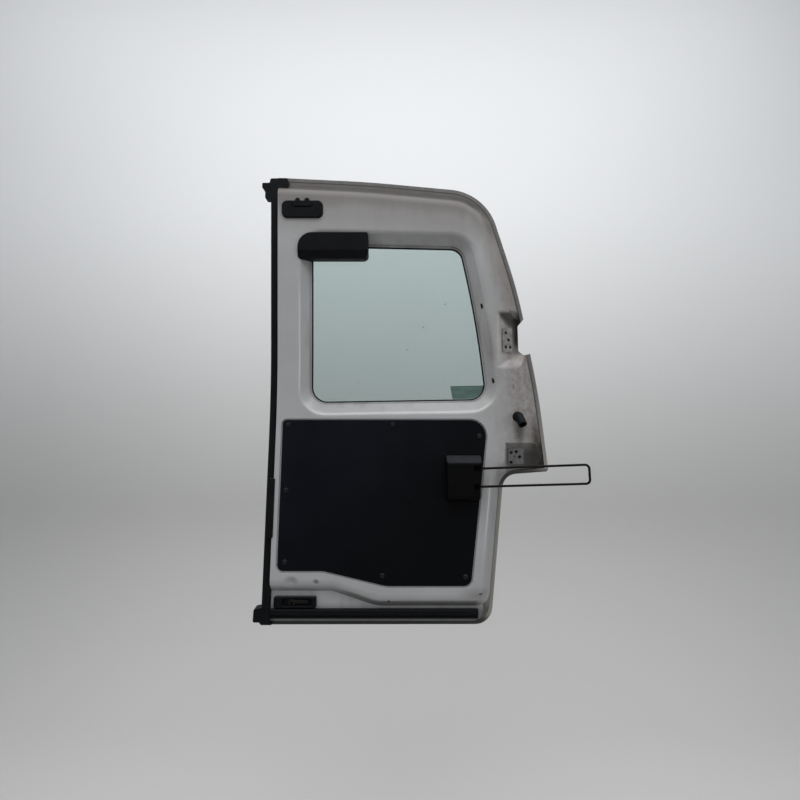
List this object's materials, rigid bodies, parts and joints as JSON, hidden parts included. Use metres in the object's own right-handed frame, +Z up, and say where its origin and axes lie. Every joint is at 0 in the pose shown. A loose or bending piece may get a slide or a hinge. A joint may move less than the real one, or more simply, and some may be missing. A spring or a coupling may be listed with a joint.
{
  "type": "campervan rear barn door",
  "caption": "Pressed-steel van rear barn door with bonded window, black trim board, seals, latch pieces, bare hinge plates and a swinging wire check loop.",
  "frame": {"origin": "centre of the lower hinge plate's inner face", "axes": "+X from the free edge to the hinge side, +Y out of the vehicle, +Z up; the load space is on the -Y side"},
  "size_m": [0.8438, 0.1748, 1.1926],
  "materials": {
    "body_paint": "silver-grey gloss paint, dirty at the edges",
    "tinted_glass": "clear, faint green tint",
    "seal_rubber": "matte black",
    "trim_board": "fine-grained black board",
    "black_plastic": "satin black moulding",
    "black_wire": "black-coated steel rod",
    "wire_steel": "dull zinc-plated steel",
    "red_lens": "red lens"
  },
  "bodies": {
    "door": {"inner_panel": "body_paint", "outer_skin": "body_paint", "window_glass": "tinted_glass", "glass_bead": "seal_rubber", "trim_panel": "trim_board", "trim_clips": "black_plastic", "check_housing": "black_plastic", "check_bush_upper": "seal_rubber", "check_bush_lower": "seal_rubber", "edge_seal_upper": "seal_rubber", "edge_seal_lower": "seal_rubber", "bottom_seal": "seal_rubber", "top_corner_cap": "seal_rubber", "bottom_corner_cap": "seal_rubber", "release_lever": "black_plastic", "upper_latch_cover": "black_plastic", "upper_latch_fork": "black_plastic", "lower_latch_case": "black_plastic", "lower_latch_claw": "wire_steel", "brake_light_cover": "black_plastic", "brake_light_lens": "red_lens", "lower_hinge_plate": "body_paint", "upper_hinge_plate": "body_paint", "wiring_grommet": "seal_rubber"},
    "check_loop": {"check_loop": "black_wire"}
  },
  "joints": [
    {"name": "check_swing", "type": "hinge", "parent": "door", "child": "check_loop", "pos_m": [-0.111, -0.03797, 0.00382], "axis": [0, -0.1736, -0.9848], "range_deg": [-14, 74]}
  ]
}
